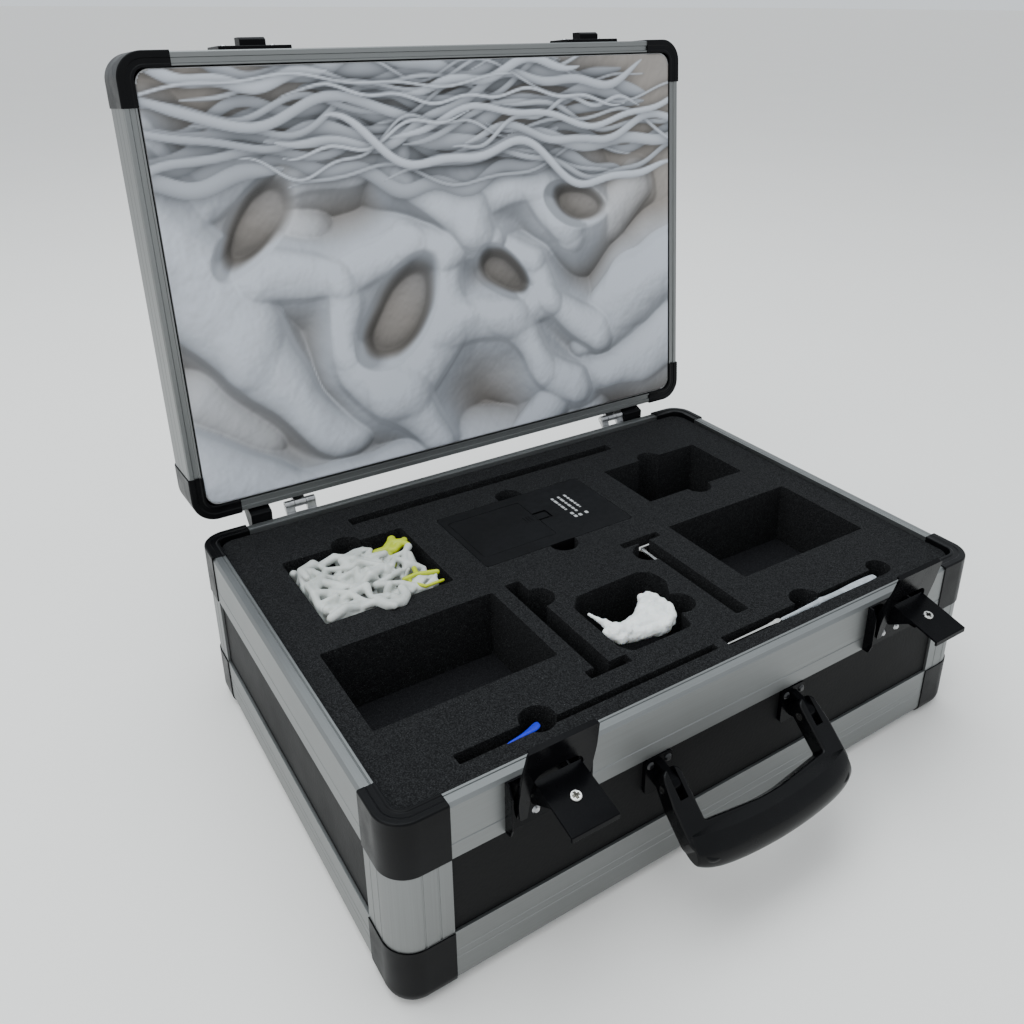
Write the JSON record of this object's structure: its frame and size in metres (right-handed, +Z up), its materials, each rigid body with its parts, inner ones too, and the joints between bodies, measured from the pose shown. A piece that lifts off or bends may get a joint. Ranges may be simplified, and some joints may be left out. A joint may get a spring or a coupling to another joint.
{
  "type": "scanner kit case",
  "caption": "Aluminium-framed carrying case, lid open, with a foam insert holding a flat handheld scanner, printed lattice specimens and small tools.",
  "frame": {"origin": "centre of the base's underside, on the surface the case stands on", "axes": "+Z up out of the open case, +Y from the latches towards the hinges, +X to the right as seen from the latch side"},
  "size_m": [0.4616, 0.4593, 0.4703],
  "materials": {
    "frame_metal": "satin, fine lengthwise lines",
    "panel_black": "matte laminate",
    "corner_black": "satin moulded",
    "latch_black": "satin black coat",
    "bright_metal": "polished",
    "rivet_metal": "satin",
    "handle_black": "gloss moulded",
    "foam_charcoal": "open-cell foam",
    "foam_floor": "open-cell foam, paler",
    "unit_black": "fine matte",
    "window_glass": "dark glass",
    "button_rubber": "matte",
    "board_green": "solder mask",
    "cell_jacket": "printed jacket",
    "specimen_white": "printed, slightly waxy",
    "spatula_blue": "gloss",
    "tool_clear": "clear",
    "board_print": "printed sheet"
  },
  "bodies": {
    "base": {"base_rim_front": "frame_metal", "base_rim_back": "frame_metal", "base_rim_sides": "frame_metal", "base_edge_front": "frame_metal", "base_edge_back": "frame_metal", "base_edge_sides": "frame_metal", "base_posts": "frame_metal", "base_panel_front": "panel_black", "base_panel_back": "panel_black", "base_panel_left": "panel_black", "base_panel_right": "panel_black", "base_panel_bottom": "panel_black", "base_top_corner_front_left": "corner_black", "base_top_corner_front_right": "corner_black", "base_top_corner_back_left": "corner_black", "base_top_corner_back_right": "corner_black", "base_bottom_corners": "corner_black", "latch_plate_left": "latch_black", "latch_plate_right": "latch_black", "foam_lower_layer": "foam_floor", "foam_top_layer": "foam_charcoal", "hinge_base_leaves": "bright_metal", "hinge_pins": "bright_metal", "pivot_pins": "bright_metal", "base_rivets": "rivet_metal", "handle_brackets": "latch_black"},
    "lid": {"lid_rail_front": "frame_metal", "lid_rail_back": "frame_metal", "lid_rail_sides": "frame_metal", "lid_top_panel": "panel_black", "lid_corner_front_left": "corner_black", "lid_corner_front_right": "corner_black", "lid_corner_back_left": "corner_black", "lid_corner_back_right": "corner_black", "lid_stops": "corner_black", "lid_catches": "latch_black", "lid_foam_pad": "foam_charcoal", "lid_print_board": "board_print", "lid_rivets": "rivet_metal", "hinge_lid_leaves": "bright_metal"},
    "latch_lever_left": {"latch_lever_left": "latch_black"},
    "latch_lever_right": {"latch_lever_right": "latch_black"},
    "latch_hasp_left": {"latch_hasp_left": "latch_black"},
    "latch_hasp_right": {"latch_hasp_right": "latch_black"},
    "latch_lock_left": {"latch_lock_left": "bright_metal"},
    "latch_lock_right": {"latch_lock_right": "bright_metal"},
    "handle": {"handle_grip": "handle_black"},
    "scanner": {"scanner_back_shell": "unit_black", "scanner_front_shell": "unit_black", "scanner_window": "window_glass", "scanner_board": "board_green", "scanner_batteries": "cell_jacket"},
    "battery_door": {"scanner_battery_door": "unit_black"},
    "scanner_button": {"scanner_button": "button_rubber"},
    "lattice": {"specimen_lattice": "specimen_white"},
    "fragment": {"specimen_fragment": "specimen_white"},
    "spatula": {"blue_spatula": "spatula_blue"},
    "tool": {"clear_tool": "tool_clear"},
    "probe": {"tee_probe": "bright_metal"}
  },
  "joints": [
    {"name": "lid_hinge", "type": "hinge", "parent": "base", "child": "lid", "pos_m": [0, 0.1682, 0.1335], "axis": [-1, 0, 0], "range_deg": [-94.7, 0]},
    {"name": "latch_lever_left_pivot", "type": "hinge", "parent": "base", "child": "latch_lever_left", "pos_m": [-0.139, -0.169, 0.118], "axis": [-1, 0, 0], "range_deg": [-84, 0]},
    {"name": "latch_hasp_left_pivot", "type": "hinge", "parent": "latch_lever_left", "child": "latch_hasp_left", "pos_m": [-0.139, -0.1705, 0.12171], "axis": [-1, 0, 0], "range_deg": [0, 95.6]},
    {"name": "latch_lock_left_turn", "type": "hinge", "parent": "latch_lever_left", "child": "latch_lock_left", "pos_m": [-0.139, -0.1895, 0.12682], "axis": [0, -0.2178, 0.976], "range_deg": [-90, 0]},
    {"name": "latch_lever_right_pivot", "type": "hinge", "parent": "base", "child": "latch_lever_right", "pos_m": [0.141, -0.169, 0.118], "axis": [-1, 0, 0], "range_deg": [-84, 0]},
    {"name": "latch_hasp_right_pivot", "type": "hinge", "parent": "latch_lever_right", "child": "latch_hasp_right", "pos_m": [0.141, -0.1705, 0.12171], "axis": [-1, 0, 0], "range_deg": [0, 95.6]},
    {"name": "latch_lock_right_turn", "type": "hinge", "parent": "latch_lever_right", "child": "latch_lock_right", "pos_m": [0.141, -0.1895, 0.12682], "axis": [0, -0.2178, 0.976], "range_deg": [-90, 0]},
    {"name": "handle_pivot", "type": "hinge", "parent": "base", "child": "handle", "pos_m": [-0.0053, -0.1755, 0.08], "axis": [-1, 0, 0], "range_deg": [0, 115]},
    {"name": "scanner_lift", "type": "slide", "parent": "base", "child": "scanner", "axis": [0, 0, 1], "range_m": [0, 0.15]},
    {"name": "battery_door_lift", "type": "slide", "parent": "scanner", "child": "battery_door", "axis": [0, 0, 1], "range_m": [0, 0.03]},
    {"name": "scanner_button_press", "type": "slide", "parent": "scanner", "child": "scanner_button", "axis": [0, 0, 1], "range_m": [0, 0.0012], "stiffness_N_per_m": 200},
    {"name": "lattice_lift", "type": "slide", "parent": "base", "child": "lattice", "axis": [0, 0, 1], "range_m": [0, 0.1]},
    {"name": "fragment_lift", "type": "slide", "parent": "base", "child": "fragment", "axis": [0, 0, 1], "range_m": [0, 0.1]},
    {"name": "spatula_lift", "type": "slide", "parent": "base", "child": "spatula", "axis": [0, 0, 1], "range_m": [0, 0.08]},
    {"name": "tool_lift", "type": "slide", "parent": "base", "child": "tool", "axis": [0, 0, 1], "range_m": [0, 0.08]},
    {"name": "probe_lift", "type": "slide", "parent": "base", "child": "probe", "axis": [0, 0, 1], "range_m": [0, 0.08]}
  ],
  "couplings": [
    {"joint": "latch_hasp_left_pivot", "follows": "latch_lever_left_pivot", "ratio": -1.138},
    {"joint": "latch_hasp_right_pivot", "follows": "latch_lever_right_pivot", "ratio": -1.138}
  ]
}
